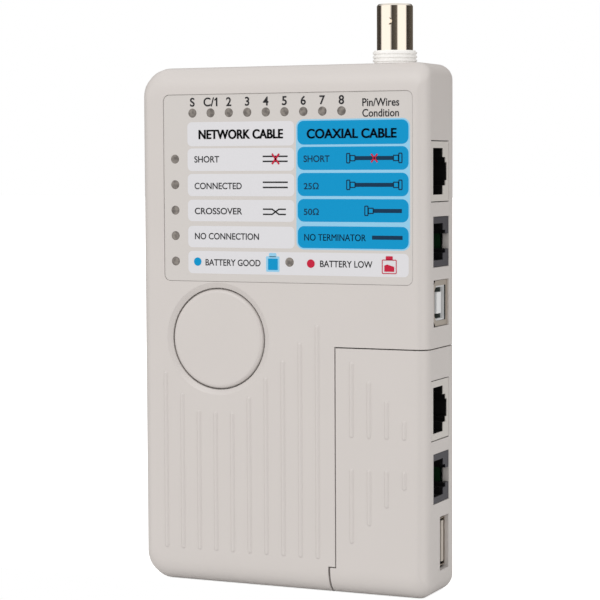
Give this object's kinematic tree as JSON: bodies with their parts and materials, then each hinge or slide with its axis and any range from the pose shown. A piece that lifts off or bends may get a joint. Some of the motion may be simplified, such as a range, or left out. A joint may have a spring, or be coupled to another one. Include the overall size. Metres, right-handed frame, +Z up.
{
  "type": "network cable tester",
  "caption": "Upright hand-held tester with socket row, lamp panel, round push button, coaxial socket on top and a slide-off remote unit.",
  "frame": {"origin": "centre of the bounding box's lower face, under the standing tester", "axes": "+Z up along the long side, +X towards the socket side, -Y out of the front face"},
  "size_m": [0.085, 0.0229, 0.1592],
  "materials": {
    "case_plastic": "fine matt moulded ABS",
    "label_film": "satin printed film",
    "button_plastic": "smooth matt ABS",
    "screw_steel": "zinc plated",
    "board_green": null,
    "chip_black": "moulded epoxy",
    "lamp_clear": "clear epoxy lamp",
    "white_plastic": "moulded",
    "black_plastic": "moulded",
    "nickel": "nickel plated",
    "gold": "gold plated",
    "socket_grey": "moulded",
    "socket_dark": "moulded",
    "battery_wrap": "painted steel can",
    "red_insulation": "PVC insulation",
    "tongue_grey": "moulded"
  },
  "bodies": {
    "main": {"front_case": "case_plastic", "rear_case": "case_plastic", "label_panel": "label_film", "case_screws": "screw_steel", "main_board": "board_green", "board_parts": "chip_black", "wire_leds": "lamp_clear", "result_leds": "lamp_clear", "led_spacers": "white_plastic", "switch_body": "black_plastic", "bnc_housing": "white_plastic", "bnc_barrel": "nickel", "bnc_insulator": "white_plastic", "bnc_contact": "gold", "network_jack": "socket_grey", "network_contacts": "gold", "phone_jack": "socket_dark", "phone_contacts": "gold", "usb_b_shell": "nickel", "usb_b_insert": "white_plastic", "usb_b_contacts": "gold", "battery": "battery_wrap", "battery_terminals": "nickel", "battery_snap": "black_plastic", "battery_lead_red": "red_insulation", "battery_lead_black": "black_plastic"},
    "test_button": {"test_button": "button_plastic", "switch_plunger": "white_plastic"},
    "battery_door": {"battery_door": "case_plastic"},
    "remote": {"remote_front_case": "case_plastic", "remote_rear_case": "case_plastic", "remote_screws": "screw_steel", "remote_board": "board_green", "remote_parts": "chip_black", "remote_network_jack": "socket_grey", "remote_network_contacts": "gold", "remote_phone_jack": "socket_dark", "remote_phone_contacts": "gold", "usb_a_shell": "nickel", "usb_a_insert": "tongue_grey", "usb_a_contacts": "gold"}
  },
  "joints": [
    {"name": "button_press", "type": "slide", "parent": "main", "child": "test_button", "axis": [0, 1, 0], "range_m": [0, 0.001], "stiffness_N_per_m": 1500, "springref_m": -0.0005},
    {"name": "door_slide", "type": "slide", "parent": "main", "child": "battery_door", "axis": [0, 0, -1], "range_m": [0, 0.06]},
    {"name": "remote_slide", "type": "slide", "parent": "main", "child": "remote", "axis": [0, 0, -1], "range_m": [0, 0.075]}
  ]
}
